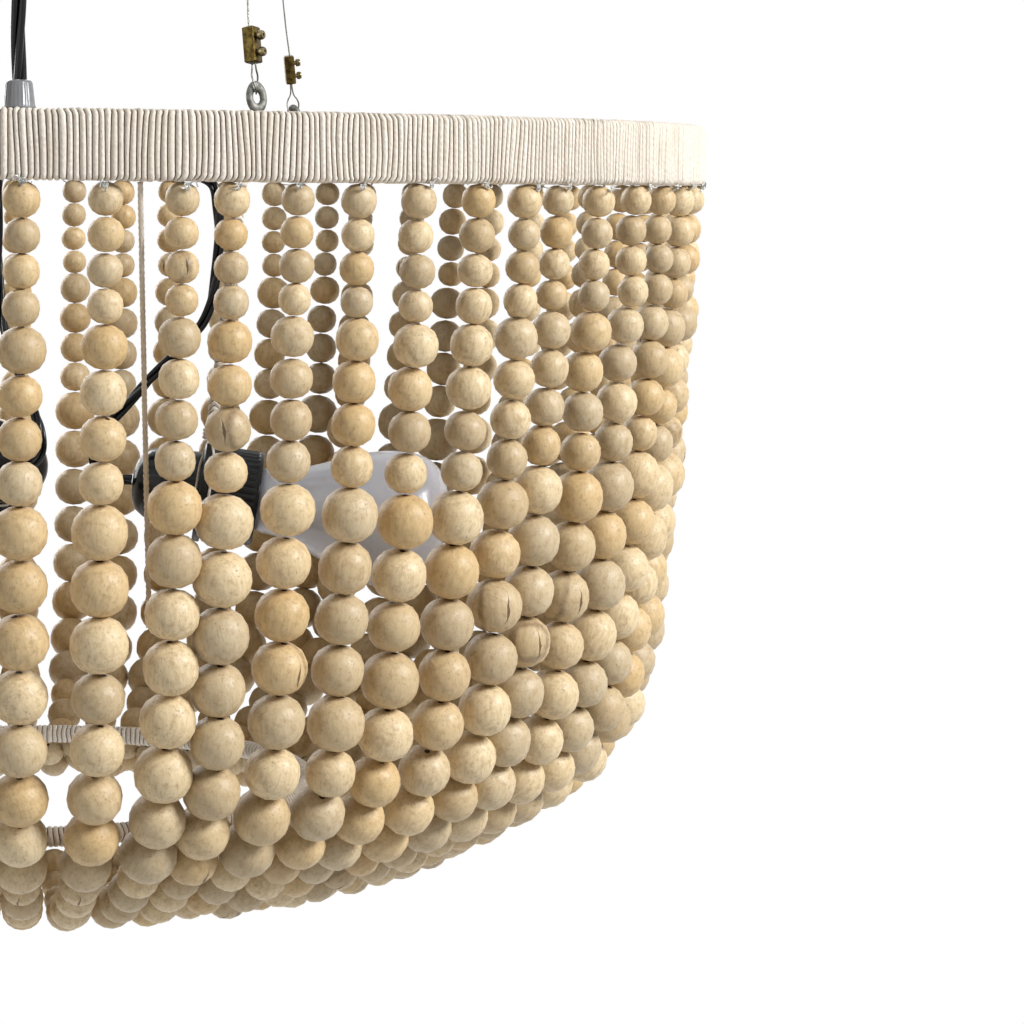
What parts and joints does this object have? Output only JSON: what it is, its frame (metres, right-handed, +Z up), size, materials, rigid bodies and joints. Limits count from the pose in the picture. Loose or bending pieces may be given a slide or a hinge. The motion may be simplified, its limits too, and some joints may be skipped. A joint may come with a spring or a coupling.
{
  "type": "beaded drum chandelier",
  "caption": "Drum chandelier with a cord-wrapped rim on leaning wires, strands of wooden beads gathered under a small lower ring, and lamps on wrapped rods inside",
  "frame": {"origin": "on the middle axis, at the level of the suspension wires' end loops and the ceiling cup's flat top", "axes": "+Z up along the middle axis, -Y towards the front, +X to the right, where the first lamp points"},
  "size_m": [0.61, 0.61, 0.4384],
  "materials": {
    "cotton_cord": "off-white cotton cord wound turn by turn",
    "bead_wood": "pale turned wood with a thin satin wax",
    "frame_steel": "dark enamelled steel bar",
    "zinc_steel": "dull galvanised steel",
    "wire_rope": "thin stranded steel wire",
    "clamp_brass": "dark aged brass",
    "grip_plastic": "milky translucent plastic",
    "black_cord": "glossy black insulated conductors",
    "cup_plastic": "black moulded plastic",
    "socket_phenolic": "glossy black moulded phenolic",
    "bulb_glass": "frosted glass bulb with a plated screw cap"
  },
  "bodies": {
    "chandelier": {"rim_wrap": "cotton_cord", "lower_ring": "cotton_cord", "loose_cord_end": "cotton_cord", "drop_rod_1": "cotton_cord", "drop_rod_2": "cotton_cord", "drop_rod_3": "cotton_cord", "strand_01": "bead_wood", "strand_02": "bead_wood", "strand_03": "bead_wood", "strand_04": "bead_wood", "strand_05": "bead_wood", "strand_06": "bead_wood", "strand_07": "bead_wood", "strand_08": "bead_wood", "strand_09": "bead_wood", "strand_10": "bead_wood", "strand_11": "bead_wood", "strand_12": "bead_wood", "strand_13": "bead_wood", "strand_14": "bead_wood", "strand_15": "bead_wood", "strand_16": "bead_wood", "strand_17": "bead_wood", "strand_18": "bead_wood", "strand_19": "bead_wood", "strand_20": "bead_wood", "strand_21": "bead_wood", "strand_22": "bead_wood", "strand_23": "bead_wood", "strand_24": "bead_wood", "strand_25": "bead_wood", "strand_26": "bead_wood", "strand_27": "bead_wood", "strand_28": "bead_wood", "strand_29": "bead_wood", "strand_30": "bead_wood", "strand_31": "bead_wood", "strand_32": "bead_wood", "strand_33": "bead_wood", "strand_34": "bead_wood", "top_frame": "frame_steel", "eyelet_1": "zinc_steel", "eyelet_2": "zinc_steel", "eyelet_3": "zinc_steel", "suspension_wire_1": "wire_rope", "suspension_wire_2": "wire_rope", "suspension_wire_3": "wire_rope", "wire_clamp_1": "clamp_brass", "wire_clamp_2": "clamp_brass", "wire_clamp_3": "clamp_brass", "cord_grip": "grip_plastic", "power_cord": "black_cord", "lamp_cords": "black_cord", "ceiling_cup": "cup_plastic", "socket_1": "socket_phenolic", "socket_2": "socket_phenolic", "socket_3": "socket_phenolic"},
    "lamp_bulb_1": {"bulb_1": "bulb_glass"},
    "lamp_bulb_2": {"bulb_2": "bulb_glass"},
    "lamp_bulb_3": {"bulb_3": "bulb_glass"}
  },
  "joints": [
    {"name": "bulb_1_unscrew", "type": "slide", "parent": "chandelier", "child": "lamp_bulb_1", "axis": [0.9861, -0.069, -0.1513], "range_m": [0, 0.0127]},
    {"name": "bulb_2_unscrew", "type": "slide", "parent": "chandelier", "child": "lamp_bulb_2", "axis": [-0.4333, 0.8885, -0.1513], "range_m": [0, 0.0127]},
    {"name": "bulb_3_unscrew", "type": "slide", "parent": "chandelier", "child": "lamp_bulb_3", "axis": [-0.5528, -0.8195, -0.1513], "range_m": [0, 0.0127]}
  ]
}
